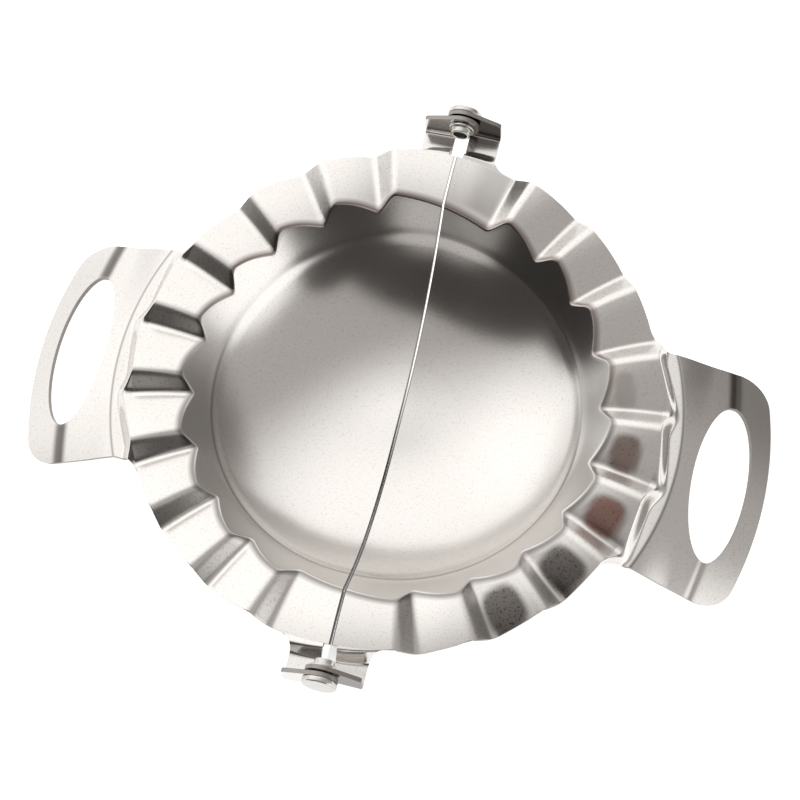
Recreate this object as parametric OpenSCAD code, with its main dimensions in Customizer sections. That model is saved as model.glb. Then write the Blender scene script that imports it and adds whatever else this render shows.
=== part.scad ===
/* [Sheet] */
// Thickness of the stainless sheet that each half is pressed from
sheet_t = 0.8; // [0.6:0.1:1]
// Outer radius of the pleated rim
rim_r = 48; // [46:0.5:50]
// Gap between the two straight edges of the halves when the press lies open
seam_gap = 0.2; // [0.2:0.1:0.6]

/* [Bowl] */
// Depth of the bowl, from the base of the rim at the hinge line to the flat
bowl_depth = 14.5; // [13.5:0.5:18]
// Radius of the small flat in the middle of the bowl, on which the press rests
floor_r = 4; // [3:0.5:8]
// Radius of the curve in which the bowl rises from the flat
dish_r = 41.5; // [38:0.5:48]
// Radius of the ring where the dish ends and the bowl's steeper wall begins
ring_r = 33.2; // [31:0.2:36]
// Steepness of the wall between the ring and the rim, in degrees
wall_angle = 52; // [48:1:62]
// Radius of the roll between the wall and the top of the rim
lip_round = 2; // [1.4:0.1:2.4]

/* [Pleats] */
// Number of pleats along each half of the rim
pleats = 10; // [6:1:12]
// Angle that the steep side of a pleat takes up
ramp_angle = 4.3; // [3:0.1:6]
// Height of a pleat's valley above the base of the rim
valley_h = 1.4; // [1:0.05:2.5]
// Height of a pleat's ridge above the base of the rim, before it is rounded
ridge_h = 4.1; // [3:0.1:4.6]
// Half the angle over which a ridge is rounded
ridge_soft = 0.6; // [0.3:0.1:1]
// Half the angle over which a valley is rounded
valley_soft = 1.6; // [0.8:0.1:2]
// How much the gentle side of a pleat is dished, as a share of its fall
land_dish = 0.35; // [0:0.05:0.6]
// Slope of each half's rim, down from the hinge line to the handle
rim_tilt = 4.5; // [0:0.5:6]

/* [Handle] */
// Distance from the rim's outer edge to the crease where the handle bends down
crease_gap = 3.8; // [3.6:0.1:6]
// Length of the handle from the crease to its outer edge, seen from above
handle_l = 16.35; // [14:0.05:24]
// Width of the handle across its outer bend
handle_w = 44.6; // [38:0.2:48]
// How much each side of the handle opens outwards, in degrees
handle_flare = 6.7; // [0:0.1:9]
// Distance of the outer bend from the crease
bend_l = 8.8; // [7:0.1:11]
// Radius of the arc in which the outer bend bows in towards the handle's sides
bend_bow = 110; // [90:5:300]
// Slope of the handle between the crease and the outer bend, against the rim
inner_slope = 24; // [15:1:28]
// Slope of the grip outside the bend, against the rim
outer_slope = 28.5; // [15:0.5:34]
// Radius of the handle's two outer corners
handle_corner_r = 6; // [3:0.5:8]
// Radius of the hollow corner where the handle's side meets the rim
handle_root_r = 6; // [3:0.5:8]
// Distance of the finger hole's centre inwards from the outer bend
hole_back = 0.75; // [-0.5:0.05:1.5]
// Length of the oval finger hole
hole_len = 30; // [24:0.5:34]
// Width of the oval finger hole, seen from above
hole_w = 10.3; // [7:0.1:12]

/* [Hinge] */
// Height of the hinge axis above the base of the rim
axis_h = 3.95; // [3.9:0.05:4.6]
// Length of the tab from the rim's outer edge to the inner ear's face
tab_l = 5.2; // [4.8:0.1:7]
// Clear gap between the two ears of one hinge
ear_gap = 0.4; // [0.3:0.05:0.6]
// Radius of the ear's round end about the hinge axis
ear_r = 3.1; // [2.8:0.1:3.2]
// Height of the ear's outer corner above the base of the rim
ear_corner_h = 5.1; // [4:0.1:6]
// Width of the tab, from the hinge line to its outer side
tab_w = 6.8; // [5.5:0.1:8]
// Width of the open notch between the two tabs of one hinge
notch_w = 2.2; // [2:0.1:3]
// Inside radius of the bend between tab and ear
ear_bend_r = 0.6; // [0.4:0.1:0.9]
// Radius of the hollow corner where the tab's side meets the rim
tab_root_r = 3; // [2:0.5:4]

/* [Rivet] */
// Diameter of the rivet's shank
shank_d = 3.6; // [3:0.1:3.8]
// Diameter of the open bore in the rivet's tail
bore_d = 2.6; // [1.8:0.1:2.8]
// Depth of the bore in the rivet's tail
bore_depth = 2.4; // [1:0.1:3]
// Diameter of the rivet's head
head_d = 6.3; // [5.6:0.1:6.8]
// Height of the rivet's head
head_h = 1.1; // [0.8:0.1:1.6]
// Diameter of the upset ring that holds the rivet behind the inner ear
upset_d = 4.7; // [4.3:0.1:5]
// Width of the upset ring along the rivet
upset_w = 0.6; // [0.4:0.1:0.8]
// How far the rivet's tail stands out of the inner ear
tail_l = 1.7; // [1.4:0.1:2.2]
// Running clearance of the shank in each ear's hole, on the radius
pin_fit = 0.08; // [0.05:0.01:0.1]
// Play between the ears and the rivet's head and upset ring
side_play = 0.06; // [0.05:0.01:0.1]

/* [Hidden] */
steel = "silver";
$fn = 64;

// The underside of the flat is at z = 0, and the rim's base is measured at the hinge line
rim_z = sheet_t + bowl_depth;
axis_z = rim_z + axis_h;
drop = tan(rim_tilt);

// The dish rises to the ring, and the wall leads on from there to the rim's base
dish_angle = asin((ring_r - floor_r) / dish_r);
dish_h = dish_r * (1 - cos(dish_angle));
wall_top_r = ring_r + (bowl_depth - dish_h) / tan(wall_angle);

// The pleats are the same upside down about the handle's middle, so closed halves nest
mid_h = (valley_h + ridge_h) / 2;
pitch = 180 / (pleats + 0.92);
first_valley = 90 - (pleats - 1) / 2 * pitch - ramp_angle / 2;
pleat_rise = ridge_h - valley_h;

// What lies outside the rim is measured from its edge
crease_r = rim_r + crease_gap;
bend_x = crease_r + bend_l;
handle_r = crease_r + handle_l;
hole_x = bend_x - hole_back;
ear_y = rim_r + tab_l;

// The end wall of a pleat leads down to the rim's base: in a valley its top and its foot
// lie further out than at a ridge, and so the wall slants from one pleat to the next
step_top_r = rim_r - 0.2;
step_foot_r = rim_r + 1.6;
step_top_slant = 1.4;
step_foot_slant = 1.7;

// The hinge's leaves lap over the tabs of the sheet by a hair
lap = 0.02;
leaf_t = sheet_t + 2 * lap;
leaf_root_y = rim_r + 2.9;
leaf_overlap = 0.6;
outer_ear_y = ear_y + sheet_t + ear_gap;
edge_round = 0.8;
beyond = 3;

// Columns of the pressed sheet, as angles clockwise from the back hinge
pleat_steps = [-0.35, 0, 0.3, 0.75, 0.95, 1.15, 1.9];
seam_columns = [-beyond, 0, first_valley * 0.32, first_valley * 0.64];
last_ramp_angle = 180 - first_valley * 0.64 - 0.3;
ramp_columns = [for (k = [0 : pleats - 1], s = pleat_steps)
    let (angle = first_valley + k * pitch + s * ramp_angle)
    if (angle < last_ramp_angle) angle];
columns = concat(
    seam_columns,
    ramp_columns,
    [for (k = [len(seam_columns) - 1 : -1 : 0]) 180 - seam_columns[k]]
);

// Rings of the pressed sheet, from the flat's edge outwards
dish_steps = 5;
lip_steps = 3;
outer_steps = 8;
bend_half = 0.5;
past_edge_r = handle_r + 1.5;
rings = 1 + dish_steps + lip_steps + 1 + outer_steps;

function mix(a, b, share) = a + (b - a) * share;
function clamp01(v) = min(1, max(0, v));
function smooth_step(v) = v * v * (3 - 2 * v);

// Height of the pleats over the rim's base at an angle from the back hinge, with sharp folds:
// a steep ramp up to each ridge, and a dished land down to the next valley
function folded_h(angle) =
    let (past = angle - first_valley)
    let (v = past - floor(past / pitch) * pitch)
    let (u = (v - ramp_angle) / (pitch - ramp_angle))
    angle < first_valley ? mid_h - (mid_h - valley_h) * angle / first_valley
    : angle > 180 - first_valley ? mid_h + (ridge_h - mid_h) * (180 - angle) / first_valley
    : v < ramp_angle ? valley_h + pleat_rise * v / ramp_angle
    : ridge_h - pleat_rise * u * (1 + land_dish - land_dish * u);

// The same with its folds rounded, as an average over a few degrees, widest in a valley
function pleat_h(angle) =
    let (w = mix(ridge_soft, valley_soft, lowness(folded_h(angle))))
    (folded_h(angle - w) + folded_h(angle - w / 2) + folded_h(angle)
        + folded_h(angle + w / 2) + folded_h(angle + w)) / 5;

// From 0 at the height of a ridge to 1 at that of a valley
function lowness(h) = (ridge_h - h) / pleat_rise;

// Distance of the handle's outer bend from the hinge line, at a place along it
function bend_at(y) = bend_x - y * y / (2 * bend_bow);

// Fall of the handle below the tilted base plane
function handle_fall(x, y) =
    let (crease_x = sqrt(pow(crease_r, 2) - pow(min(abs(y), 0.75 * crease_r), 2)))
    max(0, min(x, bend_at(y)) - crease_x) * tan(inner_slope) + max(0, x - bend_at(y)) * tan(outer_slope);

// Radius of the top and of the foot of the end wall of a pleat of height h
function wall_top(h) = step_top_r + step_top_slant * lowness(h);
function wall_foot(h) = step_foot_r + step_foot_slant * lowness(h);

// Height over the tilted base outside the bowl: the pleats, their end walls and the handle
function skirt_h(angle, r) =
    let (h = pleat_h(angle))
    let (fallen = smooth_step(clamp01((r - wall_top(h)) / (wall_foot(h) - wall_top(h)))))
    h * (1 - fallen) - handle_fall(r * sin(angle), r * cos(angle));

// One point of the sheet's upper face, for a column's angle, a radius and a height over the base
function over_base(angle, r, h) = [r * sin(angle), r * cos(angle), rim_z + h - r * sin(angle) * drop];

// The rolled inner edge is an arc that leaves the wall and ends level with the pleat
function lip_point(angle, share) =
    let (h = pleat_h(angle))
    let (turn = wall_angle * (1 - share))
    let (wall_h = h - lip_round * (1 - cos(wall_angle)))
    let (wall_x = wall_top_r + wall_h / tan(wall_angle))
    let (centre_x = wall_x + lip_round * sin(wall_angle))
    over_base(angle, centre_x - lip_round * sin(turn), h - lip_round * (1 - cos(turn)));

function outer_radius(angle, k) =
    let (top = wall_top(pleat_h(angle)), foot = wall_foot(pleat_h(angle)))
    let (ahead = max(cos(90 - angle), 0.5))
    let (to_bend = bend_at(bend_x * cos(angle) / ahead) / ahead)
    let (near_bend = max(crease_r + 2, min(to_bend, past_edge_r - 3)))
    [top, mix(top, foot, 0.5), foot, crease_r - 0.15, crease_r + 0.35,
     near_bend - bend_half, near_bend + bend_half, past_edge_r][k];

function sheet_point(angle, ring) =
    let (bend = dish_angle * ring / dish_steps)
    let (past_lip = ring - dish_steps - lip_steps - 1)
    ring <= dish_steps
        ? [(floor_r + dish_r * sin(bend)) * sin(angle),
           (floor_r + dish_r * sin(bend)) * cos(angle),
           sheet_t + dish_r * (1 - cos(bend))]
    : ring <= dish_steps + lip_steps + 1
        ? lip_point(angle, (ring - dish_steps - 1) / lip_steps)
    : let (r = outer_radius(angle, past_lip - 1))
      over_base(angle, r, skirt_h(angle, r));

// Direction square to the sheet, from the points around a place in the grid
function square_to(grid, column, ring) =
    let (a = grid[max(column - 1, 0)][ring])
    let (b = grid[min(column + 1, len(columns) - 1)][ring])
    let (c = grid[column][max(ring - 1, 0)])
    let (d = grid[column][min(ring + 1, rings - 1)])
    let (n = ring == 0 ? [0, 0, 1] : cross(b - a, d - c))
    n / norm(n);

// The pressed sheet before it is trimmed: an upper and a lower skin, a thickness apart
module drawn_sheet() {
    last_column = len(columns) - 1;
    last_ring = rings - 1;
    upper = [for (angle = columns) [for (ring = [0 : last_ring]) sheet_point(angle, ring)]];
    lower = [for (i = [0 : last_column]) [for (j = [0 : last_ring])
        upper[i][j] - sheet_t * square_to(upper, i, j)]];
    skin = len(columns) * rings;
    function at(i, j, below = 0) = i * rings + j + below * skin;
    skins = [for (i = [0 : last_column - 1], j = [0 : last_ring - 1], below = [0, 1])
        let (a = at(i, j, below), b = at(i, j + 1, below), c = at(i + 1, j + 1, below), d = at(i + 1, j, below))
        each below == 0 ? [[a, b, c], [a, c, d]] : [[a, d, c], [a, c, b]]];
    flat_top = [for (i = [0 : last_column]) at(i, 0)];
    flat_under = [for (i = [last_column : -1 : 0]) at(i, 0, 1)];
    rim_edge = [for (i = [0 : last_column - 1])
        each [[at(i, last_ring), at(i + 1, last_ring, 1), at(i + 1, last_ring)],
              [at(i, last_ring), at(i, last_ring, 1), at(i + 1, last_ring, 1)]]];
    end_edges = [for (j = [0 : last_ring - 1])
        each [[at(0, j), at(0, j + 1, 1), at(0, j + 1)],
              [at(0, j), at(0, j, 1), at(0, j + 1, 1)],
              [at(last_column, j), at(last_column, j + 1), at(last_column, j + 1, 1)],
              [at(last_column, j), at(last_column, j + 1, 1), at(last_column, j, 1)]]];
    chord = [[at(0, 0), at(last_column, 0, 1), at(0, 0, 1)],
             [at(0, 0), at(last_column, 0), at(last_column, 0, 1)]];
    polyhedron(
        points = concat([for (row = upper) each row], [for (row = lower) each row]),
        faces = concat(skins, [flat_top], [flat_under], rim_edge, end_edges, chord)
    );
}

// Points of an arc about a centre
function arc(centre, r, from, to, steps = 8) =
    [for (k = [0 : steps]) centre + r * [cos(mix(from, to, k / steps)), sin(mix(from, to, k / steps))]];

// Where a line at an angle and a distance from the centre meets a circle about the centre
function on_circle(angle, offset, r) =
    let (along = sqrt(r * r - offset * offset))
    [along * cos(angle) - offset * sin(angle), along * sin(angle) + offset * cos(angle)];

// The back half of the trimmed edge, from the middle of the handle round to the seam:
// outer edge and corner, straight side, hollow root, rim, hollow root of the tab, tab and notch
function trimmed_edge() =
    let (side = handle_w / 2 * cos(handle_flare) - bend_x * sin(handle_flare))
    let (corner = on_circle(handle_flare, side - handle_corner_r, handle_r - handle_corner_r))
    let (root = on_circle(handle_flare, side + handle_root_r, rim_r + handle_root_r))
    let (corner_bearing = atan2(corner[1], corner[0]))
    let (root_bearing = atan2(root[1], root[0]))
    let (tab_root = on_circle(90, -tab_w - tab_root_r, rim_r + tab_root_r))
    let (tab_bearing = atan2(tab_root[1], tab_root[0]))
    let (tab_end = leaf_root_y + leaf_overlap)
    concat(
        arc([0, 0], handle_r, 0, corner_bearing, 10),
        arc(corner, handle_corner_r, corner_bearing, handle_flare + 90, 8),
        arc(root, handle_root_r, handle_flare + 270, root_bearing + 180, 8),
        arc([0, 0], rim_r, root_bearing, tab_bearing, 20),
        arc(tab_root, tab_root_r, tab_bearing + 180, 180, 5),
        [[tab_w, tab_end], [notch_w / 2, tab_end], [notch_w / 2, rim_r + 0.2], [seam_gap / 2, rim_r - edge_round]]
    );

module trimmed_outline() {
    back = trimmed_edge();
    polygon(concat(back, [for (k = [len(back) - 1 : -1 : 1]) [back[k][0], -back[k][1]]]));
}

module finger_hole_outline() {
    polygon([for (a = [0 : 8 : 352]) [hole_x + hole_w / 2 * cos(a), hole_len / 2 * sin(a)]]);
}

// The tab's outer end, bent up into the ear, with its face at a distance from the middle
module bent_tab(face_y) {
    bend_y = face_y - ear_bend_r;
    root_y = leaf_root_y;
    inside = arc([bend_y, ear_bend_r], ear_bend_r - lap, -90, 0, 5);
    outside = arc([bend_y, ear_bend_r], ear_bend_r + sheet_t + lap, 0, -90, 5);
    strip = concat(
        [[root_y, lap]], inside, [[face_y - lap, ear_bend_r + 1], [face_y + sheet_t + lap, ear_bend_r + 1]],
        outside, [[root_y, -sheet_t - lap]]
    );
    rotate([0, rim_tilt, 0]) translate([tab_w + lap, 0, 0]) rotate([90, 0, -90])
        mirror([1, 0, 0]) linear_extrude(tab_w - notch_w / 2 + 2 * lap) polygon(strip);
}

// The ear itself, a flat plate with a round end and the rivet's hole
module ear(face_y) {
    foot = ear_bend_r + 0.3;
    top = [tab_w - 0.4, ear_corner_h - tab_w * drop];
    span = norm(top - [0, axis_h]);
    top_bearing = atan2(top[1] - axis_h, top[0]) + acos(ear_r / span);
    translate([0, face_y + sheet_t + lap, 0]) rotate([90, 0, 0]) linear_extrude(leaf_t) difference() {
        union() {
            translate([0, axis_h]) circle(r = ear_r);
            polygon([
                [notch_w / 2, foot - notch_w / 2 * drop], [tab_w + lap, foot - tab_w * drop],
                [tab_w + lap, top[1] - 0.4], top,
                [ear_r * cos(top_bearing), axis_h + ear_r * sin(top_bearing)],
                [0, axis_h], [ear_r * cos(-65), axis_h + ear_r * sin(-65)]
            ]);
        }
        translate([0, axis_h]) circle(d = shank_d + 2 * pin_fit);
    }
}

module leaf(face_y) {
    translate([0, 0, rim_z]) {
        bent_tab(face_y);
        ear(face_y);
    }
}

// A punch or die of a given outline that passes right through the sheet
module through() {
    translate([0, 0, -beyond]) linear_extrude(rim_z + 2 * ridge_h + 2 * beyond) children();
}

// One half of the press: bowl, pleated rim, handle and two hinge leaves, of one sheet
module press_half() {
    color(steel) union() {
        difference() {
            intersection() {
                drawn_sheet();
                through() trimmed_outline();
            }
            through() finger_hole_outline();
        }
        leaf(outer_ear_y);
        mirror([0, 1, 0]) leaf(ear_y);
    }
}

// A rivet with an open tail, lying along the hinge axis with its head outwards
module rivet() {
    tail_y = ear_y - tail_l;
    upset_y = ear_y - side_play - upset_w;
    head_y = outer_ear_y + sheet_t + side_play;
    color(steel) translate([0, 0, axis_z]) rotate([-90, 0, 0]) rotate_extrude($fn = 36) polygon([
        [0, tail_y + bore_depth], [bore_d / 2, tail_y + bore_depth - 0.4], [bore_d / 2, tail_y],
        [shank_d / 2, tail_y], [shank_d / 2, upset_y], [upset_d / 2 - 0.2, upset_y],
        [upset_d / 2, upset_y + 0.2], [upset_d / 2, upset_y + upset_w], [shank_d / 2, upset_y + upset_w],
        [shank_d / 2, head_y], [head_d / 2, head_y], [head_d / 2, head_y + head_h * 0.45],
        [head_d / 2 - 0.5, head_y + head_h * 0.85], [head_d / 4, head_y + head_h], [0, head_y + head_h]
    ]);
}

module right_half() {
    press_half();
}

module left_half() {
    rotate([0, 0, 180]) press_half();
}

module back_rivet() {
    rivet();
}

module front_rivet() {
    rotate([0, 0, 180]) rivet();
}

right_half();
left_half();
back_rivet();
front_rivet();
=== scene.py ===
import math

import bmesh
import bpy
import numpy as np
from mathutils import Matrix, Vector


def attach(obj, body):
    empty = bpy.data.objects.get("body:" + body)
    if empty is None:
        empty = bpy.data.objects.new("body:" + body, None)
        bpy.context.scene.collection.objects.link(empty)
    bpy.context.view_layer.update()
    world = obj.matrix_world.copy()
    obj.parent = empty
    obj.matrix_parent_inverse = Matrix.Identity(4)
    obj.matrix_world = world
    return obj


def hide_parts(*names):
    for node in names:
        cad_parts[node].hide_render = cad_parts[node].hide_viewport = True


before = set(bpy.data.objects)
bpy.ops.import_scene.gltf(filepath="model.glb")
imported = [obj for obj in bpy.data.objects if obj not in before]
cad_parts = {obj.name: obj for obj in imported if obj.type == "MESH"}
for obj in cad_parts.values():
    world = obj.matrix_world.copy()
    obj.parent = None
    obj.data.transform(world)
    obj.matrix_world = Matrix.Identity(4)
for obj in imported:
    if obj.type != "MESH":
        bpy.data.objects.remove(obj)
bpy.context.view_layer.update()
scene = bpy.context.scene
scene.view_settings.view_transform = "Standard"

# Camera.
# The press lies open and is seen from in front and well above, from a little to the right
# and rolled a little, through a long lens from about 57 cm away. Sizes are in millimetres.
MM = 0.001
RIM_BASE = 15.3  # height of the rim's base, which the camera looks at
DISTANCE, ASIDE, ABOVE = 567.66, 0.815, -0.381
FOCAL_PIXELS, FRAME_PIXELS, SENSOR = 3162.1, 800, 36
turned, raised, rolled = math.radians(18.351), math.radians(68.735), math.radians(-5.235)
towards = Vector((
    math.sin(turned) * math.cos(raised), -math.cos(turned) * math.cos(raised), math.sin(raised)))
sideways = Vector((math.cos(turned), math.sin(turned), 0))
upright = towards.cross(sideways)
across = math.cos(rolled) * sideways + math.sin(rolled) * upright
upwards = -math.sin(rolled) * sideways + math.cos(rolled) * upright
stand = towards * DISTANCE + across * ASIDE + upwards * ABOVE + Vector((0, 0, RIM_BASE))
camera = bpy.data.objects.new("camera", bpy.data.cameras.new("camera"))
camera.data.sensor_width = SENSOR
camera.data.lens = FOCAL_PIXELS / FRAME_PIXELS * SENSOR
camera.data.clip_start = 0.01
camera.data.clip_end = 20
camera.matrix_world = Matrix((
    (across.x, upwards.x, towards.x, stand.x * MM),
    (across.y, upwards.y, towards.y, stand.y * MM),
    (across.z, upwards.z, towards.z, stand.z * MM),
    (0, 0, 0, 1)))
scene.collection.objects.link(camera)
scene.camera = camera


# Pressed half.
# Each half is one piece of polished stainless sheet, 0.8 mm thick: half a bowl, a rim
# pressed into sawtooth pleats, a handle with an oval finger hole, and two hinge ears.
SHEET = 0.8
SEAM = 0.42  # gap between the two halves
RIM_R = 48.0
DROP = math.tan(math.radians(4.5))  # each half's slope down from the seam

# The bowl, from the middle out: a flat, a round dish, a raised ring, a straight wall and a
# rolled lip.
FLAT_R = 4.0
DISH_R = 41.5  # radius of the dish's own curve
DISH_LIFT = 0.45  # so that the leaning dish's lowest point just rests on the floor
RING_R, RING_RISE, RING_W = 33.2, 0.1, 0.8
WALL = math.radians(45)
LIP_R, LIP_END = 1.3, math.radians(7)
LIP_TOP_R = 38.5  # about where the lip meets the lands
BOWL_DEPTH = RIM_BASE - SHEET
DISH_H = DISH_R - math.sqrt(DISH_R ** 2 - (RING_R - FLAT_R) ** 2)
WALL_TOP_R = RING_R + (BOWL_DEPTH - DISH_H - DISH_LIFT) / math.tan(WALL)

# The pleats: steep ramps and long lands. Angles are in degrees from the back hinge.
PLEATS = 10
PLAIN_ENDS = 0.92  # both ends beside the hinges, as a share of a pleat's pitch
PITCH = 180 / (PLEATS + PLAIN_ENDS)
RAMP = 4.3
FIRST_VALLEY = 90 - (PLEATS - 1) / 2 * PITCH - RAMP / 2
VALLEY_H, RIDGE_H = 1.4, 4.1
CROWN = 0.65  # at 0 a land is straight, and at 1 it starts level at its ridge
RIDGE_SOFT, VALLEY_SOFT = 1.2, 0.9  # degrees over which a fold is rounded
LAND_R = 43.0  # where the pleats have their plain depth
TWIST, PILLOW = 0.14, 0.35  # how much deeper they are at the rim, as a share, and how much lower
STEP_IN, STEP_FOOT = 0.2, 1.6  # a ridge's end wall, inside and outside the rim's radius
STEP_IN_LOW, STEP_FOOT_LOW = 1.4, 1.7  # how much further out both are at a valley

# The handle: a slope from the crease to the outer bend, then a steeper one.
CREASE_R, CREASE_SOFT = 51.8, 0.45
BEND_X, BEND_BOW, BEND_SOFT = 60.6, 110.0, 0.6
GROOVE_DEPTH, GROOVE_W = 0.12, 0.45
INNER_SLOPE, OUTER_SLOPE = math.tan(math.radians(24)), math.tan(math.radians(28.5))
HANDLE_R, HANDLE_W, FLARE = 68.15, 44.6, math.radians(6.7)
HANDLE_CORNER, HANDLE_ROOT = 6.0, 6.0
HANDLE_CROWN, CROWN_RUN = 0.6, 6.0
HOLE_X, HOLE_L, HOLE_W = 59.85, 30.0, 10.3
BLOCK_IN, BLOCK_OUT, BLOCK_SIDE = 1.4, 2.2, 1.6  # how far the hole's own mesh reaches round it

# The hinge tabs and ears. The right half's back ear is the outer one of its pair, and its
# front ear the inner one.
AXIS_H = 3.95  # the hinge line's height over the rim's base
EAR_Y = 53.2  # the inner ear's face towards the middle
EAR_GAP = 0.4  # between the two ears of a pair
EAR_R, EAR_TOP, EAR_CORNER, EAR_HOLE = 3.1, 5.1, 0.4, 1.88
EAR_BEND, EAR_RISE = 0.6, 0.3
EAR_UNDER = 295  # bearing in degrees at which the ear's round end meets its lower edge
TAB_W, NOTCH, TAB_ROOT = 6.8, 2.2, 3.0
TAB_END_Y = RIM_R + 2.9


def mix(a, b, share):
    """From a at a share of 0 to b at a share of 1, in a straight line."""
    return a + (b - a) * share


def soft_max(a, b, k):
    """The higher of two values, with the corner between them rounded over a width k."""
    return np.maximum(a, b) + np.maximum(k - abs(a - b), 0) ** 2 / (4 * k)


def eased(v):
    """A share from 0 to 1 that starts and ends gently: 3v^2 - 2v^3."""
    v = np.clip(v, 0, 1)
    return v * v * (3 - 2 * v)


def rising(v, start, width):
    """From 0 up to a start, to 1 a width further on, gently."""
    return eased((v - start) / width)


def falling(v, start, width):
    """From 1 up to a start, to 0 a width further on, gently."""
    return 1 - rising(v, start, width)


def lowness(h):
    """From 0 at the height of a ridge to 1 at that of a valley."""
    return (RIDGE_H - h) / (RIDGE_H - VALLEY_H)


def folded_height(angle):
    """Height over the rim's base at an angle, with sharp folds: a steep ramp up to each
    ridge, a crowned land down to the next valley, and a plain slope to each hinge."""
    rise, middle = RIDGE_H - VALLEY_H, (VALLEY_H + RIDGE_H) / 2
    v = (angle - FIRST_VALLEY) % PITCH
    u = (v - RAMP) / (PITCH - RAMP)
    land = RIDGE_H - rise * u * (1 - CROWN + CROWN * u)
    h = np.where(v < RAMP, VALLEY_H + rise * v / RAMP, land)
    to_back = middle - (middle - VALLEY_H) * angle / FIRST_VALLEY
    to_front = middle + (RIDGE_H - middle) * (180 - angle) / FIRST_VALLEY
    h = np.where(angle < FIRST_VALLEY, to_back, h)
    return np.where(angle > 180 - FIRST_VALLEY, to_front, h)


def pleat_height(angle):
    """The same with its folds rounded: an average over a few degrees, widest at a ridge."""
    width = mix(RIDGE_SOFT, VALLEY_SOFT, lowness(folded_height(angle)))
    return sum(folded_height(angle + width * k / 4) for k in range(-4, 5)) / 9


def land_height(angle, r):
    """The pleats at a distance from the middle: deeper outwards, and domed along each land."""
    out = np.clip((r - LAND_R) / (RIM_R - LAND_R), -1, 1)
    middle = (VALLEY_H + RIDGE_H) / 2
    return middle + (pleat_height(angle) - middle) * (1 + TWIST * out) - PILLOW * out ** 2


def step_share(r, h):
    """How far the end wall of a pleat of height h has gone down, at a distance from the
    middle: the lower the pleat, the further out its wall and the wall's foot."""
    low = lowness(h)
    top, foot = RIM_R - STEP_IN + STEP_IN_LOW * low, RIM_R + STEP_FOOT + STEP_FOOT_LOW * low
    return rising(r, top, foot - top)


def bend_line(y):
    """How far out the handle's outer bend lies: it bows in a little towards both sides."""
    return BEND_X - y ** 2 / (2 * BEND_BOW)


def rim_surface(x, y):
    """Height of the sheet's upper face outside the bowl, at a place seen from above: the
    pleats and the step at their ends, less the handle's two slopes, the groove pressed
    along its bend, the crown across it, and the lean of the whole half."""
    angle, r = np.degrees(np.arctan2(x, y)), np.hypot(x, y)
    h = land_height(angle, r) * (1 - step_share(r, pleat_height(angle)))
    past_sides = 0.75 * CREASE_R
    crease = np.sqrt(CREASE_R ** 2 - np.minimum(abs(y), past_sides) ** 2)
    bend = bend_line(y)
    fall = (INNER_SLOPE * soft_max(x - crease, 0 * x, CREASE_SOFT)
            + (OUTER_SLOPE - INNER_SLOPE) * soft_max(x - bend, 0 * x, BEND_SOFT))
    pressed = GROOVE_DEPTH * np.exp(-((x - bend) / GROOVE_W) ** 2)
    crown = HANDLE_CROWN * (y / HANDLE_W * 2) ** 2 * eased((x - CREASE_R + CROWN_RUN / 2) / CROWN_RUN)
    return RIM_BASE + h - fall - pressed - crown - x * DROP


def clear_of_seam(x):
    """A place moved out by half the seam's gap at the seam, and by less and less outwards,
    so that the seam's edge stays a straight line."""
    return x + SEAM / 2 * (1 - np.minimum(x, RIM_R) / RIM_R)


def arc_points(centre, r, start, end, count):
    """Points at even steps along an arc, between two bearings in degrees."""
    turn = np.radians(np.linspace(start, end, count))
    return np.stack((centre[0] + r * np.cos(turn), centre[1] + r * np.sin(turn)), -1)


def on_circle(angle, offset, r):
    """Where a line at an angle, and at a distance from the centre, meets a circle."""
    along = math.sqrt(r * r - offset * offset)
    return np.array((
        along * math.cos(angle) - offset * math.sin(angle),
        along * math.sin(angle) + offset * math.cos(angle)))


def bearing_of(place):
    """A place's bearing from the middle, in degrees."""
    return math.degrees(math.atan2(place[1], place[0]))


# Centres of the round corners and roots of the handle and the tabs, and the angles at which
# the roots start on the rim.
side_offset = HANDLE_W / 2 * math.cos(FLARE) - BEND_X * math.sin(FLARE)
handle_corner = on_circle(FLARE, side_offset - HANDLE_CORNER, HANDLE_R - HANDLE_CORNER)
handle_root = on_circle(FLARE, side_offset + HANDLE_ROOT, RIM_R + HANDLE_ROOT)
root_bearing = bearing_of(handle_root)
corner_bearing = bearing_of(handle_corner)
tab_root = on_circle(math.pi / 2, -TAB_W - TAB_ROOT, RIM_R + TAB_ROOT)
tab_bearing = bearing_of(tab_root)
tab_angles = (math.degrees(math.asin((NOTCH / 2) / RIM_R)), 90 - tab_bearing)

# Angles of the mesh's radial lines, in degrees: close together at each fold, and one at each
# end of the tabs and the handle.
pleat_steps = np.concatenate((
    np.arange(-1, 1, 0.2), np.arange(1, 3.2, 0.4), np.arange(3.3, 5.9, 0.2), np.arange(6, 15.3, 0.75)))
angles = np.concatenate([FIRST_VALLEY + k * PITCH + pleat_steps for k in range(PLEATS)])
angles = angles[(angles > 0.5) & (angles < 179.5)]
angles = np.concatenate((np.arange(0, angles[0] - 0.3, 0.6), angles, [180]))
for fixed in (*tab_angles, 180 - tab_angles[0], 180 - tab_angles[1], 90 - root_bearing, 90 + root_bearing):
    angles = angles[abs(angles - fixed) > 0.12]
    angles = np.sort(np.append(angles, fixed))


def patch(rows):
    """A grid of points, with a face for each cell: rows of equal length."""
    grid = np.asarray(rows, float)
    n, m = grid.shape[:2]
    index = np.arange(n * m).reshape(n, m)
    faces = np.stack((index[:-1, :-1], index[1:, :-1], index[1:, 1:], index[:-1, 1:]), -1)
    return grid.reshape(-1, 3), faces.reshape(-1, 4)


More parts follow.
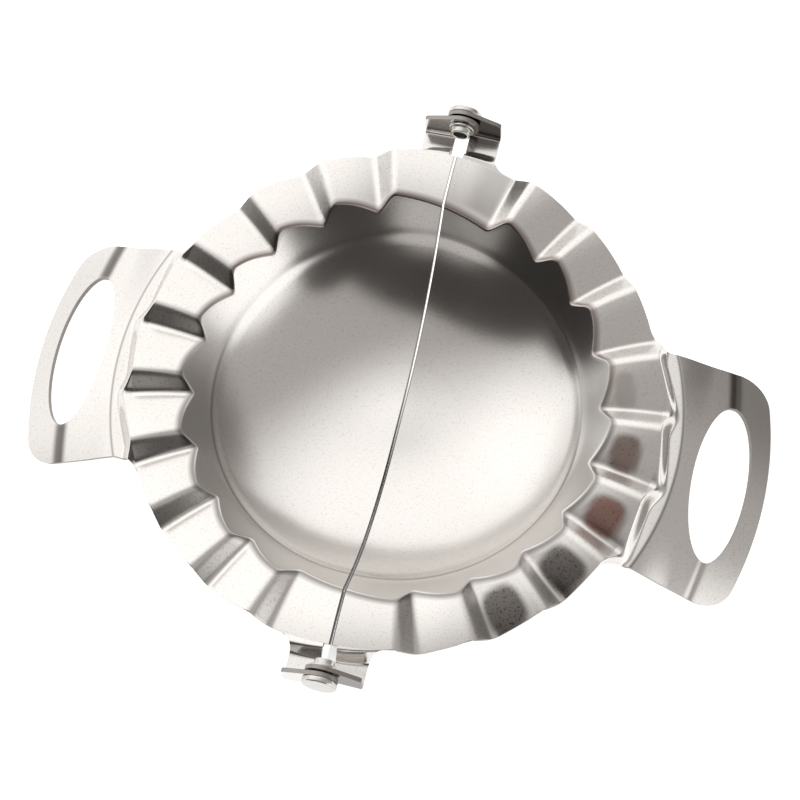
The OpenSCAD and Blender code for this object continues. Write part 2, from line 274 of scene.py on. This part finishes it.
def dish_height(x, y):
    """Height of the dish's upper face: flat in the middle, then a round curve, and leaning
    outwards with the rest of its half."""
    out = np.clip(np.hypot(x, y) - FLAT_R, 0, RING_R - FLAT_R)
    return SHEET + DISH_LIFT + DISH_R - np.sqrt(DISH_R ** 2 - out ** 2) - x * DROP


def bowl_and_rim():
    """Rows of points, from the seam out to the rim's edge: the dish's middle in flattened
    half circles, the rest of it in half circles, a raised ring, the straight wall, the
    rolled lip and the pleats. Where the wall ends depends on the lip's height and the other
    way round, so that height is found in a few rounds."""
    turn = np.radians(angles)
    h = land_height(angles, LIP_TOP_R)
    for _ in range(3):
        h = land_height(angles, WALL_TOP_R + h / math.tan(WALL) + LIP_R * math.tan(WALL / 2))
    inner = 12.0
    rings = []
    for depth in (0, 0.03, 0.12, 0.27, 0.44, 0.62, 0.81):
        x, y = depth * inner * np.sin(turn), inner * np.cos(turn)
        rings.append(np.stack((x, y, dish_height(x, y)), -1))
    for r in np.concatenate((np.linspace(inner, 31.5, 13), np.linspace(31.8, RING_R, 7))):
        x, y = r * np.sin(turn), r * np.cos(turn)
        rings.append(np.stack((x, y, dish_height(x, y)), -1))
    wall_foot = rings[-1]
    wall_h = h - LIP_R * (1 - math.cos(WALL))
    wall_x = WALL_TOP_R + wall_h / math.tan(WALL)
    lip = []
    for bend in np.linspace(WALL, LIP_END, 12):
        r = wall_x + LIP_R * math.sin(WALL) - LIP_R * math.sin(bend)
        z = RIM_BASE + h - LIP_R * (1 - math.cos(bend)) - r * np.sin(turn) * DROP
        lip.append(np.stack((r * np.sin(turn), r * np.cos(turn), z), -1))
    for share in (0.04, 0.09, 0.15, 0.22, 0.3, 0.42, 0.56, 0.7, 0.85):
        rings.append(mix(wall_foot, lip[0], share))
    for ring in rings:
        r = np.hypot(ring[:, 0], ring[:, 1])
        ring[:, 2] += RING_RISE * np.exp(-((r - RING_R) / RING_W) ** 2)
    rings += lip
    edge = np.hypot(lip[-1][:, 0], lip[-1][:, 1])
    last_land = RIM_R - 0.4
    land_rings = [mix(edge, last_land, share) for share in np.linspace(0, 1, 11)[1:]]
    land_rings += [mix(last_land, RIM_R, share) for share in np.linspace(0, 1, 7)[1:]]
    for r in land_rings:
        x, y = r * np.sin(turn), r * np.cos(turn)
        rings.append(np.stack((x, y, rim_surface(x, y)), -1))
    return np.array(rings)


def handle_bearing(r):
    """Half the handle's width as a bearing in degrees, at a distance from the middle:
    the hollow root, then the straight side, then the round corner. A circle of radius c
    round a centre at d is met at the cosine (r^2 + d^2 - c^2) / 2rd from its bearing."""
    root_d, corner_d = np.hypot(*handle_root), np.hypot(*handle_corner)
    square_to_side = np.array((math.sin(FLARE), -math.cos(FLARE)))
    root_end = math.hypot(*(handle_root + HANDLE_ROOT * square_to_side))
    corner_start = math.hypot(*(handle_corner - HANDLE_CORNER * square_to_side))
    to_root = np.clip((r ** 2 + root_d ** 2 - HANDLE_ROOT ** 2) / (2 * r * root_d), -1, 1)
    to_corner = np.clip((r ** 2 + corner_d ** 2 - HANDLE_CORNER ** 2) / (2 * r * corner_d), -1, 1)
    in_root = math.radians(root_bearing) - np.arccos(to_root)
    in_corner = math.radians(corner_bearing) + np.arccos(to_corner)
    straight = FLARE + np.arcsin(side_offset / r)
    return np.degrees(np.where(r < root_end, in_root, np.where(r > corner_start, in_corner, straight)))


def lifted(x, y):
    """Places seen from above, put at their height on the rim's surface."""
    return np.stack((clear_of_seam(x), y, rim_surface(x, y)), -1)


bowl = bowl_and_rim()
bowl[..., 0] = clear_of_seam(bowl[..., 0])
patches = [patch(bowl)]

# The handle's rings go on from the rim's edge, drawn in to its width, and lie close together
# at the rim, the crease and the outer edge. The finger hole is cut in them: rays run from a
# block of cells round the hole to its oval edge.
on_handle = np.flatnonzero(abs(angles - 90) <= root_bearing + 1e-6)
spread = (angles[on_handle] - 90) / root_bearing
handle_rings = np.concatenate((
    RIM_R + np.array((0, 0.01, 0.03, 0.07, 0.13, 0.22)), RIM_R + np.arange(0.35, 3.3, 0.15),
    CREASE_R + np.arange(-0.42, 0.6, 0.12), np.arange(52.8, 57, 0.55), np.arange(57.3, 65, 0.32),
    HANDLE_R - np.array((3, 2.5, 2, 1.6, 1.2, 0.9, 0.65, 0.43, 0.26, 0.14, 0.06, 0.02, 0))))
bearing = np.radians(90 + spread[None] * handle_bearing(handle_rings)[:, None])
handle_x = handle_rings[:, None] * np.sin(bearing)
handle_y = handle_rings[:, None] * np.cos(bearing)
handle = lifted(handle_x, handle_y)
first_ring = int(np.argmax(handle_rings > HOLE_X - HOLE_W / 2 - BLOCK_IN))
last_ring = int(np.argmax(handle_rings > HOLE_X + HOLE_W / 2 + BLOCK_OUT))
middle_ring = (first_ring + last_ring) // 2
beside_hole = np.flatnonzero(abs(handle_y[middle_ring]) < HOLE_L / 2 + BLOCK_SIDE)
first_line, last_line = beside_hole[0], beside_hole[-1]
patches.append(patch(handle[:first_ring + 1]))
patches.append(patch(handle[last_ring:]))
patches.append(patch(handle[first_ring:last_ring + 1, :first_line + 1]))
patches.append(patch(handle[first_ring:last_ring + 1, last_line:]))


def border(grid):
    """The outer border of a block of cells, as one closed loop."""
    return np.concatenate((grid[0, :-1], grid[:-1, -1], grid[-1, :0:-1], grid[::-1, 0]))


block = np.s_[first_ring:last_ring + 1, first_line:last_line + 1]
border_x, border_y = border(handle_x[block]), border(handle_y[block])
ray = np.arctan2(border_y / HOLE_L, (border_x - HOLE_X) / HOLE_W)
shares = np.array((0, 0.3, 0.55, 0.75, 0.88, 0.96, 1))[:, None]
around_x = mix(border_x, HOLE_X + HOLE_W / 2 * np.cos(ray), shares)
around_y = mix(border_y, HOLE_L / 2 * np.sin(ray), shares)
patches.append(patch(lifted(around_x, around_y)))


def leaf(face_y, back):
    """A hinge tab from the rim's edge to its ear, its bend, and the ear with its hole.
    The front one is the back one mirrored, and its rows are turned over to face up."""
    sign = 1 if back else -1
    along_rim = angles if back else 180 - angles
    lines = np.flatnonzero((along_rim >= tab_angles[0] - 1e-6) & (along_rim <= tab_angles[1] + 1e-6))[::sign]
    turn = np.radians(angles[lines])
    start = np.stack((RIM_R * np.sin(turn), abs(RIM_R * np.cos(turn))), -1)
    v = ((start[:, 0] - start[0, 0]) / (start[-1, 0] - start[0, 0]))[None, :, None]
    finish = np.stack((mix(NOTCH / 2, TAB_W, v[0, :, 0]), 0 * v[0, :, 0] + TAB_END_Y), -1)
    root = arc_points(tab_root, TAB_ROOT, tab_bearing + 180, 180, 14)
    right = np.concatenate((root, [(TAB_W, mix(root[-1][1], TAB_END_Y, s)) for s in (0.5, 1)]))
    u = np.linspace(0, 1, len(right))[:, None, None]
    left = mix(start[0], finish[0], u[:, 0])
    # in plan, the tab blends its four edges: both blends added, less that of the corners
    plan = ((1 - u) * start[None] + u * finish[None] + (1 - v) * left[:, None] + v * right[:, None]
            - (1 - u) * (1 - v) * start[0] - (1 - u) * v * start[-1]
            - u * (1 - v) * finish[0] - u * v * finish[-1])
    tab = lifted(plan[..., 0], sign * plan[..., 1])
    # the tab's end, its bend and the ear's foot, as one strip from level to upright
    bend = np.radians(np.linspace(-90, 0, 9)[1:])
    level_y = np.linspace(TAB_END_Y, face_y - EAR_BEND, 5)
    along_y = np.concatenate((level_y, face_y - EAR_BEND + EAR_BEND * np.cos(bend), [face_y]))
    along_z = np.concatenate((0 * level_y, EAR_BEND + EAR_BEND * np.sin(bend), [EAR_BEND + EAR_RISE]))
    x = finish[:, 0]
    strip = np.stack((
        np.broadcast_to(clear_of_seam(x), (len(along_y), len(x))),
        np.broadcast_to(sign * along_y[:, None], (len(along_y), len(x))),
        RIM_BASE + along_z[:, None] - clear_of_seam(x)[None] * DROP), -1)
    strip[0, :, 2] = tab[-1, :, 2]
    # the ear's edge as a closed loop round the hinge hole, from the tab's far corner
    foot = strip[-1][:, [0, 2]]
    top = np.array((TAB_W - EAR_CORNER, RIM_BASE + EAR_TOP - TAB_W * DROP))
    axis = np.array((0, RIM_BASE + AXIS_H))
    span = math.hypot(*(top - axis))
    tangent = math.degrees(math.atan2(top[1] - axis[1], top[0]) + math.acos(EAR_R / span))
    rounded = arc_points(axis, EAR_R, tangent, EAR_UNDER, 34)
    shoulder = np.array((foot[-1][0], top[1] - EAR_CORNER))
    side = [mix(foot[-1], shoulder, s) for s in np.linspace(0, 1, 9)[1:]]
    slope = [mix(top, rounded[0], s) for s in np.linspace(0, 1, 9)[:-1]]
    under = [mix(rounded[-1], foot[0], s) for s in np.linspace(0, 1, 6)[1:]]
    loop = np.concatenate((foot, side, slope, rounded, under))
    ray = np.arctan2(loop[:, 1] - axis[1], loop[:, 0] - axis[0])
    hole = axis + EAR_HOLE * np.stack((np.cos(ray), np.sin(ray)), -1)
    rays = mix(loop[None], hole[None], np.array((0, 0.12, 0.35, 0.6, 0.85, 1))[:, None, None])
    ear = np.stack((rays[..., 0], 0 * rays[..., 0] + sign * face_y, rays[..., 1]), -1)
    return [patch(grid if back else grid[:, ::-1]) for grid in (tab, strip, ear)]


patches += leaf(EAR_Y + SHEET + EAR_GAP, True) + leaf(EAR_Y, False)


# Painted dark reflections of the room on the right half's crowned front lands: the land's number
# from the back, how far out the spot lies, half its length, how strong it is and how reddish.
PAINTED_REFLECTIONS = (
    (3, 41.2, 1.8, 0.3, 0.5),
    (4, 42.3, 2.7, 0.85, 0.6),
    (5, 43.4, 3.4, 0.95, 1.0),
    (6, 43.8, 4.1, 1.0, 0.0),
    (7, 44.3, 4.2, 1.0, 0.0))
SPOT_MIDDLE, SPOT_REACH = 0.63, 0.37  # along its land, as shares from ridge to valley


def painted_reflection_spots(angle, r):
    """How dark and how reddish the painted dark reflections are: each is a rounded box, of which a
    place is inside where |a|^3 + |b|^3 < 1, with a soft edge."""
    dark_reflection, painted_tint = 0 * r, 0 * r
    for land, middle, half, strength, redness in PAINTED_REFLECTIONS:
        u = (angle - FIRST_VALLEY - land * PITCH - RAMP) / (PITCH - RAMP)
        out = (abs((u - SPOT_MIDDLE) / SPOT_REACH) ** 3 + abs((r - middle) / half) ** 3) ** (1 / 3)
        share = falling(out, 0.8, 0.4)
        dark_reflection, painted_tint = np.maximum(dark_reflection, strength * share), np.maximum(painted_tint, redness * share)
    return dark_reflection, painted_tint


def marks(x, y, flipped):
    """The sheet's marks, each as a share from 0 to 1: painted shade with some wear on the wall and the
    back land, rougher and darker ramps, painted dark reflections and a painted reddish tint, and painted
    shade lines along the ring, the lip, the crease and the handle's bend. The two halves differ, so left
    and right are told apart."""
    r = np.hypot(x, y)
    angle = np.degrees(np.arctan2(x, y))
    v = (angle - FIRST_VALLEY + 1) % PITCH - 1
    on_rim = rising(r, LIP_TOP_R - 0.2, 1.2) * falling(r, RIM_R - 0.4, 0.8)
    pleated = (angle > FIRST_VALLEY - 1) & (angle < 181 - FIRST_VALLEY)
    ramp = rising(v, 0.1, 0.8) * falling(v, 3.5, 0.8) * on_rim * pleated
    # Painted shade: dark lines along the handle's bend, the crease, the ring and the lip.
    bend = 1.4 * falling(abs(x - bend_line(y)), 0.4, 1.3) * rising(abs(y), HOLE_L / 2 - 1.5, 2)
    bend = bend * (1 if flipped else mix(0.2, 1, y > 0))
    crease = np.exp(-((r - CREASE_R) / 0.22) ** 2) * (x > RING_R)
    ring = 0.9 * np.exp(-((r - RING_R - 0.3) / 0.22) ** 2) * (1 - 0.8 * rising(angle, 90, 15) * flipped)
    lip_r = WALL_TOP_R + land_height(angle, LIP_TOP_R) / math.tan(WALL) + 0.3
    lip = 1.1 * falling(abs(r - lip_r), 0.15, 0.4)
    wall = rising(r, RING_R - 0.2, 0.8) * falling(r, lip_r - 0.6, 1.2)
    back_land = rising(angle, 3, 6) * (angle < FIRST_VALLEY) * on_rim
    # Painted shade standing for dark reflections, with some wear: the wall darker towards the back, and the
    # right half's back land.
    if flipped:
        painted_shade_and_wear = wall * (0.15 * falling(angle, 60, 40))
        dark_reflection, painted_tint = 0 * r, 0 * r
    else:
        painted_shade_and_wear = wall * mix(0.45, 0.12, rising(angle, 75, 20)) + 0.3 * back_land
        # painted dark reflections on the right half's front lands
        dark_reflection, painted_tint = painted_reflection_spots(angle, r)
    # a painted reddish reflection along the lip, towards the back of each half
    painted_tint = np.maximum(painted_tint, 0.4 * lip * eased((-y if flipped else y) / 20))
    line = np.maximum.reduce((bend, crease, ring, lip))
    return {"painted_shade_and_wear": painted_shade_and_wear, "ramp": ramp, "dark_reflection": dark_reflection, "painted_tint": painted_tint, "line": line}


def half_mesh(name, flipped):
    """The joined patches as one skin, in metres, with a wall of the sheet's thickness under
    it: the left half is the right one turned half round about the upright axis."""
    points, faces, base = [], [], 0
    for patch_points, patch_faces in patches:
        points.append(patch_points)
        faces.append(patch_faces + base)
        base += len(patch_points)
    points = np.concatenate(points) * MM
    if flipped:
        points = points * (-1, -1, 1)
    mesh = bpy.data.meshes.new(name)
    mesh.from_pydata(points.tolist(), [], np.concatenate(faces).tolist())
    bm = bmesh.new()
    bm.from_mesh(mesh)
    bmesh.ops.remove_doubles(bm, verts=bm.verts, dist=2e-6)
    bmesh.ops.dissolve_degenerate(bm, edges=bm.edges, dist=1e-7)
    bmesh.ops.recalc_face_normals(bm, faces=bm.faces)
    largest = max(bm.faces, key=lambda face: face.calc_area())
    if largest.normal.z < 0:
        bmesh.ops.reverse_faces(bm, faces=bm.faces)
    bm.to_mesh(mesh)
    bm.free()
    for polygon in mesh.polygons:
        polygon.use_smooth = True
    place = np.empty(len(mesh.vertices) * 3)
    mesh.vertices.foreach_get("co", place)
    place = place.reshape(-1, 3) / MM * (-1 if flipped else 1)
    for mark, share in marks(place[:, 0], place[:, 1], flipped).items():
        values = mesh.attributes.new(mark, "FLOAT", "POINT").data
        values.foreach_set("value", share.astype(np.float32))
    half = bpy.data.objects.new(name, mesh)
    scene.collection.objects.link(half)
    wall = half.modifiers.new("sheet", "SOLIDIFY")
    wall.thickness = SHEET * MM
    wall.offset = -1
    wall.use_even_offset = False
    wall.material_offset_rim = 1
    sharp = half.modifiers.new("cut edges", "EDGE_SPLIT")
    sharp.split_angle = math.radians(55)
    return half


class Shade:
    """A shader socket with Python's operators, each of which adds a Math node."""

    def __init__(self, tree, socket):
        self.tree, self.socket = tree, socket

    def node(self, kind, settings=None, out=0, **values):
        """Any other node: its type, its settings, the number of the output that is used, and
        the values or links of its sockets, by name or, as i0, i1 and so on, by number."""
        made = self.tree.nodes.new(kind)
        for key, value in (settings or {}).items():
            setattr(made, key, value)
        for key, value in values.items():
            numbered = key[0] == "i" and key[1:].isdigit()
            socket = made.inputs[int(key[1:]) if numbered else key.replace("_", " ")]
            if isinstance(value, Shade):
                self.tree.links.new(value.socket, socket)
            else:
                socket.default_value = value
        return Shade(self.tree, made.outputs[out])

    def maths(self, operation, *others):
        """A Math node on this socket and the others."""
        inputs = {f"i{k + 1}": other for k, other in enumerate(others)}
        return self.node("ShaderNodeMath", {"operation": operation}, i0=self, **inputs)

    def __add__(self, other):
        return self.maths("ADD", other)

    def __mul__(self, other):
        return self.maths("MULTIPLY", other)

    def __rsub__(self, other):
        return self.node("ShaderNodeMath", {"operation": "SUBTRACT"}, i0=other, i1=self)

    __radd__ = __add__
    __rmul__ = __mul__


def source(tree, kind, output):
    """An output of a new node that needs no input."""
    return Shade(tree, tree.nodes.new(kind).outputs[output])


def mask(tree, name):
    """One of the sheet's marks, as a share from 0 to 1, or 0 on a piece without it."""
    made = tree.nodes.new("ShaderNodeAttribute")
    made.attribute_name = name
    return Shade(tree, made.outputs["Fac"])


def near(value, centre, half_width):
    """1 where a value is within a half width of a centre, or else 0."""
    return value.node("ShaderNodeMath", {"operation": "COMPARE"}, i0=value, i1=centre, i2=half_width)


def ranged(value, start, end, low, high, kind="LINEAR"):
    """From low at a start to high at an end, and level beyond both."""
    return value.node(
        "ShaderNodeMapRange", {"interpolation_type": kind}, i0=value, i1=start, i2=end, i3=low, i4=high)


def blended(share, first, second):
    """From one colour, at a share of 0, to another, or to a socket's colour, at 1."""
    last = second if isinstance(second, Shade) else (*second, 1)
    return share.node("ShaderNodeMix", {"data_type": "RGBA"}, out=2, i0=share, i6=(*first, 1), i7=last)


# Dark colour of the specks and of painted shade, and reddish colour of painted reflections
GREY_SPECK_AND_SHADE, RED_PAINTED_REFLECTION = (0.06, 0.05, 0.045), (0.2, 0.07, 0.045)
CLOUD_SCALE, GRAIN_SCALE, GRAIN_DEPTH = 90.0, 2600.0, 0.00002
SPECK_START, SPECK_FULL = 0.56, 0.66  # the grain's strength at a speck's edge and inside it
SEAM_SHADE = 0.13  # how far the dark of the seam reaches over both of its edges
HINGE_Y, HINGE_REACH = 56 * MM, 6 * MM  # where it is left out, at the ears and rivets


def steel(name, colour, roughness, marked):
    """Polished stainless with dark specks and a fine grain, with painted shade in the hinge's gap and
    along the seam. On the halves, the marks are added: the ramps are rougher and darker, the wall and
    back land get painted shade with some wear, the lands get painted dark reflections, and the folds get
    painted shade lines."""
    material = bpy.data.materials.new(name)
    material.use_nodes = True
    tree = material.node_tree
    gloss = tree.nodes["Principled BSDF"]
    gloss.inputs["Metallic"].default_value = 1
    place = source(tree, "ShaderNodeTexCoord", "Object")
    across_hinge = place.node("ShaderNodeSeparateXYZ", out=0, Vector=place).maths("ABSOLUTE")
    backwards = place.node("ShaderNodeSeparateXYZ", out=1, Vector=place)
    along_hinge = backwards.maths("ABSOLUTE")
    clouds = place.node("ShaderNodeTexNoise", Vector=place, Scale=CLOUD_SCALE, Detail=4.0)
    grain = place.node("ShaderNodeTexNoise", Vector=place, Scale=GRAIN_SCALE, Detail=3.0)
    specks = ranged(grain, SPECK_START, SPECK_FULL, 0.0, 1.0)
    # Painted shade: the ears' gap is painted dark, and the seam's edges darker, most towards the front.
    gap = near(along_hinge, (EAR_Y + SHEET + EAR_GAP / 2) * MM, (EAR_GAP / 2 + 0.03) * MM)
    at_hinge = near(along_hinge, HINGE_Y, HINGE_REACH)
    seam = near(across_hinge, 0.0, (SEAM / 2 + SEAM_SHADE) * MM) * (1 - at_hinge)
    seam = seam * ranged(backwards, 20 * MM, -5 * MM, 0.45, 1.0)
    dark = (gap * 0.85).maths("MAXIMUM", seam)
    rough = (roughness - 0.04) + clouds * 0.08
    if marked:
        ramp = mask(tree, "ramp")
        # Painted shade along the folds and on the wall and back land, with some wear there, painted dark
        # reflections on the lands, and darker ramps with specks.
        for shadow in (
                mask(tree, "line") * 0.6, ramp * (0.35 + 0.65 * specks) * 0.4, specks * 0.12,
                mask(tree, "painted_shade_and_wear") * (0.5 + clouds), mask(tree, "dark_reflection") * (0.84 + 0.16 * specks)):
            dark = dark.maths("MAXIMUM", shadow)
        rough = rough + ramp * 0.12
    else:
        dark = dark.maths("MAXIMUM", specks * 0.15)
    speck_and_painted_shade_colour = blended(mask(tree, "painted_tint"), GREY_SPECK_AND_SHADE, RED_PAINTED_REFLECTION)
    bump = place.node("ShaderNodeBump", Height=grain, Strength=0.15, Distance=GRAIN_DEPTH)
    tree.links.new(blended(dark, colour, speck_and_painted_shade_colour).socket, gloss.inputs["Base Color"])
    tree.links.new(rough.socket, gloss.inputs["Roughness"])
    tree.links.new(bump.socket, gloss.inputs["Normal"])
    return material


half_steel = steel("polished_sheet", (0.71, 0.69, 0.67), 0.19, True)
cut_steel = steel("cut_edge", (0.3, 0.28, 0.265), 0.38, False)
for name, body, node, flipped in (
        ("pressed_right", "right", "right_half", False), ("pressed_left", "left", "left_half", True)):
    half = half_mesh(name, flipped)
    half.data.materials.append(half_steel)
    half.data.materials.append(cut_steel)
    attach(half, body)
    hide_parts(node)


# Rivets.
# Each is a turned pin along the hinge line, with a flat round head outside the outer ear,
# an upset ring behind the inner ear, and an open tail.
PIN_R, BORE_R, BORE_DEPTH, HEAD_R, HEAD_H = 1.8, 1.3, 2.4, 3.15, 1.1
UPSET_R, UPSET_W, TAIL_L, SIDE_PLAY = 2.35, 0.6, 1.7, 0.06


def eased_corners(corners):
    """A profile with each corner rounded by a short curve, a set distance back from it:
    (1-t)^2 start + 2t(1-t) corner + t^2 end."""
    out = [corners[0][:2]]
    for before, corner, after in zip(corners, corners[1:], corners[2:]):
        p = np.array(corner[:2])
        legs = [np.array(q[:2]) - p for q in (before, after)]
        start, end = (p + leg / np.hypot(*leg) * corner[2] for leg in legs)
        out += [tuple((1 - t) ** 2 * start + 2 * t * (1 - t) * p + t * t * end) for t in np.linspace(0, 1, 6)]
    return out + [corners[-1][:2]]


def rivet_mesh(name, sign):
    """A profile of radius against distance along the hinge line, turned round that line.
    Each corner is its radius, its distance and how far back its rounding starts."""
    tail, ring = EAR_Y - TAIL_L, EAR_Y - SIDE_PLAY - UPSET_W
    head = EAR_Y + 2 * SHEET + EAR_GAP + SIDE_PLAY
    profile = np.array(eased_corners((
        (0, tail + BORE_DEPTH, 0), (BORE_R, tail + BORE_DEPTH, 0.3),
        (BORE_R, tail, 0.2), (PIN_R, tail, 0.2),
        (PIN_R, ring, 0.15), (UPSET_R, ring, 0.2),
        (UPSET_R, ring + UPSET_W, 0.15), (PIN_R, ring + UPSET_W, 0.05),
        (PIN_R, head, 0.05), (HEAD_R, head, 0.15),
        (HEAD_R, head + HEAD_H, 0.45), (0, head + HEAD_H, 0))))
    turn = np.linspace(0, 2 * math.pi, 65)[:, None]
    r, y = profile[None, :, 0], profile[None, :, 1]
    points, faces = patch(np.stack((
        r * np.cos(turn), sign * y + 0 * turn, AXIS_H + RIM_BASE + r * np.sin(turn)), -1))
    mesh = bpy.data.meshes.new(name)
    mesh.from_pydata((points * MM).tolist(), [], (faces if sign > 0 else faces[:, ::-1]).tolist())
    bm = bmesh.new()
    bm.from_mesh(mesh)
    bmesh.ops.remove_doubles(bm, verts=bm.verts, dist=2e-6)
    bmesh.ops.recalc_face_normals(bm, faces=bm.faces)
    bm.to_mesh(mesh)
    bm.free()
    for polygon in mesh.polygons:
        polygon.use_smooth = True
    rivet = bpy.data.objects.new(name, mesh)
    scene.collection.objects.link(rivet)
    return rivet


rivet_steel = steel("rivet_steel", (0.60, 0.585, 0.565), 0.24, False)
for name, node, sign in (("turned_back", "back_rivet", 1), ("turned_front", "front_rivet", -1)):
    rivet = rivet_mesh(name, sign)
    rivet.data.materials.append(rivet_steel)
    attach(rivet, "right")
    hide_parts(node)


# Floor and light.
# A plain floor that the camera and the steel both see as white, with a painted shadow: a strip under the
# front half of the seam that is black where the press covers it. The light comes from a dim room with
# large patches of light and of dark in it.
FLOOR_HALF = 3  # half the floor's side, in metres
FLOOR_WHITE, FLOOR_PAINTED_SHADOW, FLOOR_GLOW = (0.7, 0.7, 0.7), (0.02, 0.018, 0.016), 0.8
SHADOW_STRIP_X, SHADOW_STRIP_HALF_W = -0.8, 1.4
SHADOW_STRIP_START, SHADOW_STRIP_FULL = 12, -8  # along the hinge line, where it starts and where it is black
floor_mesh = bpy.data.meshes.new("floor")
corners = [(x * FLOOR_HALF, y * FLOOR_HALF, 0) for x, y in ((-1, -1), (1, -1), (1, 1), (-1, 1))]
floor_mesh.from_pydata(corners, [], [(0, 1, 2, 3)])
floor = bpy.data.objects.new("floor", floor_mesh)
scene.collection.objects.link(floor)
floor_paint = bpy.data.materials.new("white_floor")
floor_paint.use_nodes = True
tree = floor_paint.node_tree
tree.nodes.clear()
seen = source(tree, "ShaderNodeLightPath", "Is Camera Ray")
for kind in ("Is Glossy Ray", "Is Transmission Ray"):
    seen = seen.maths("MAXIMUM", source(tree, "ShaderNodeLightPath", kind))
under = source(tree, "ShaderNodeTexCoord", "Object")
under_x = under.node("ShaderNodeSeparateXYZ", out=0, Vector=under)
under_y = under.node("ShaderNodeSeparateXYZ", out=1, Vector=under)
open_above = under.node("ShaderNodeAmbientOcclusion", {"samples": 4}, out=1, Distance=30 * MM)
covered = ranged(open_above, 0.4, 0.2, 0.0, 1.0)
towards_front = ranged(under_y, SHADOW_STRIP_START * MM, SHADOW_STRIP_FULL * MM, 0.0, 1.0)
# The painted shadow: the floor turns black in a strip under the front of the seam, where the press is close
# above.
strip = near(under_x, SHADOW_STRIP_X * MM, SHADOW_STRIP_HALF_W * MM) * towards_front * covered
diffuse = under.node("ShaderNodeBsdfDiffuse", Color=blended(strip, FLOOR_WHITE, FLOOR_PAINTED_SHADOW))
glow = under.node("ShaderNodeEmission", Color=(1, 1, 1, 1), Strength=seen * FLOOR_GLOW * (1 - strip))
both = under.node("ShaderNodeAddShader", i0=diffuse, i1=glow)
tree.links.new(both.socket, tree.nodes.new("ShaderNodeOutputMaterial").inputs["Surface"])
floor.data.materials.append(floor_paint)

# Patches in the room: the heading clockwise from the back and the height over the floor, in
# degrees, the angles from there to its full part and to its edge, and its strength.
ROOM, DIMMEST = 0.46, 0.06
LAMPS = ((325, 22, 30, 80, 0.9), (110, 8, 20, 33, 1.0), (285, 32, 15, 40, 0.1))
DARKS = (
    (195, 12, 47, 54, 1.0), (141, 34, 10, 16, 1.0), (238, 2, 25, 31, 1.0),
    (50, 2, 10, 32, 0.65), (290, -4, 16, 26, 0.2))
LAMP_IN_DARK = (189, 14, 13, 21, 0.6)
DIM_TINT, BRIGHT_TINT = (1, 0.93, 0.87), (1, 0.985, 0.965)
world = bpy.data.worlds.new("room")
scene.world = world
world.use_nodes = True
tree = world.node_tree
sky = source(tree, "ShaderNodeTexCoord", "Generated")


def heading(azimuth, elevation):
    """A direction, from its angle clockwise from the back and its angle over the floor."""
    a, e = math.radians(azimuth), math.radians(elevation)
    return math.sin(a) * math.cos(e), math.cos(a) * math.cos(e), math.sin(e)


def glow_at(azimuth, elevation, inner, outer, strength):
    """A round patch of light in the room: full within one angle, none past another."""
    facing = sky.node(
        "ShaderNodeVectorMath", {"operation": "DOT_PRODUCT"}, out=1, i0=sky, i1=heading(azimuth, elevation))
    edge, full = math.cos(math.radians(outer)), math.cos(math.radians(inner))
    return ranged(facing, edge, full, 0.0, strength, "SMOOTHSTEP")


light = ROOM
for lamp in LAMPS:
    light = light + glow_at(*lamp)
for dark in DARKS:
    light = light * (1 - glow_at(*dark))
light = light + glow_at(*LAMP_IN_DARK) + DIMMEST
backdrop = world.node_tree.nodes["Background"]
tree.links.new(blended(light, DIM_TINT, BRIGHT_TINT).socket, backdrop.inputs["Color"])
tree.links.new(light.socket, backdrop.inputs["Strength"])
